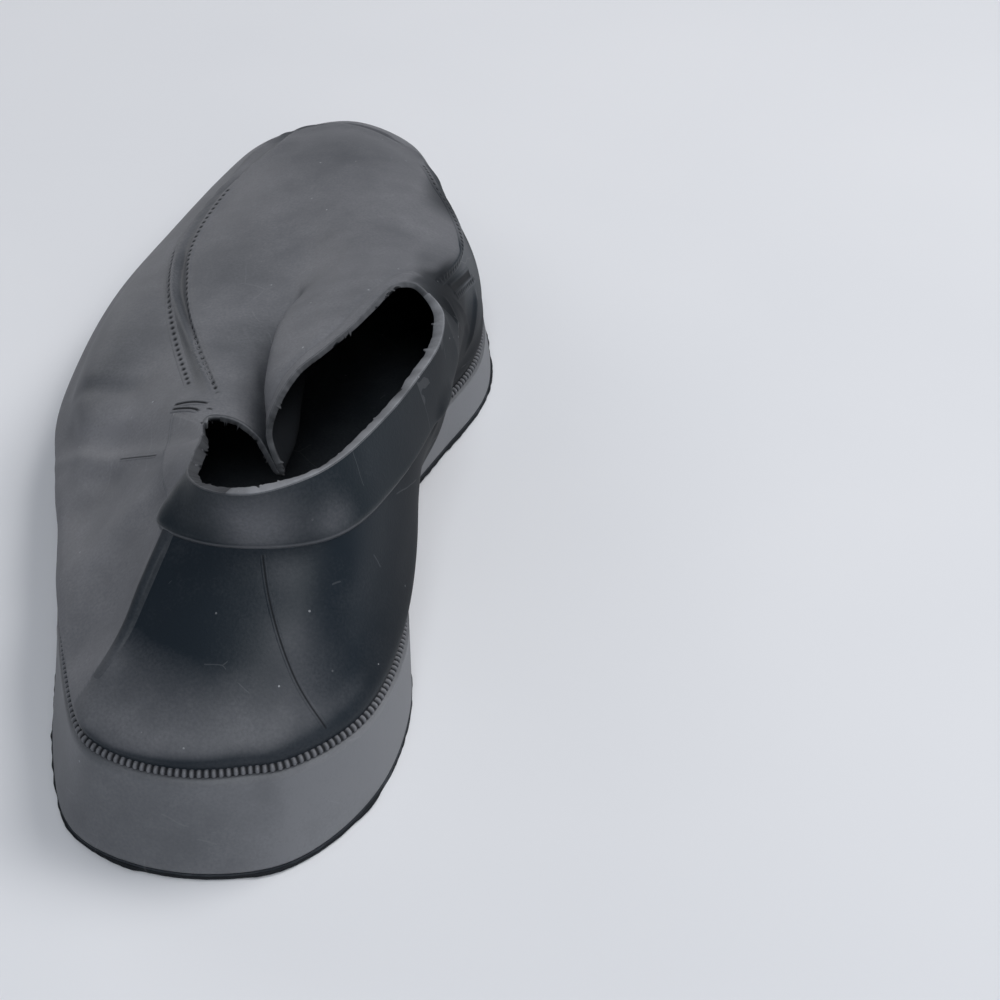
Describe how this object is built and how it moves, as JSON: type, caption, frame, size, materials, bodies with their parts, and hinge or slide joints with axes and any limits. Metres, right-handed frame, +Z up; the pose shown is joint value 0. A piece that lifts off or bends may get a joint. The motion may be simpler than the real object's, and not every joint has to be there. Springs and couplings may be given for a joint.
{
  "type": "rubber overshoe",
  "caption": "Low moulded rubber overshoe for a left shoe, with a moccasin apron, a knurled welt, a turned-up side band and a banded foot opening.",
  "frame": {"origin": "centre of the overshoe's box, on the ground that its sole rests on", "axes": "+Y to the toe, +X to the inner side of the foot, +Z up"},
  "size_m": [0.1108, 0.29, 0.0722],
  "materials": {
    "outsole_rubber": "matte",
    "foxing_rubber": "satin",
    "welt_rubber": "satin",
    "upper_rubber": "satin",
    "collar_rubber": "satin"
  },
  "bodies": {
    "root": {"outsole": "outsole_rubber", "foxing": "foxing_rubber", "welt": "welt_rubber", "upper": "upper_rubber", "collar_band": "collar_rubber"}
  },
  "joints": []
}
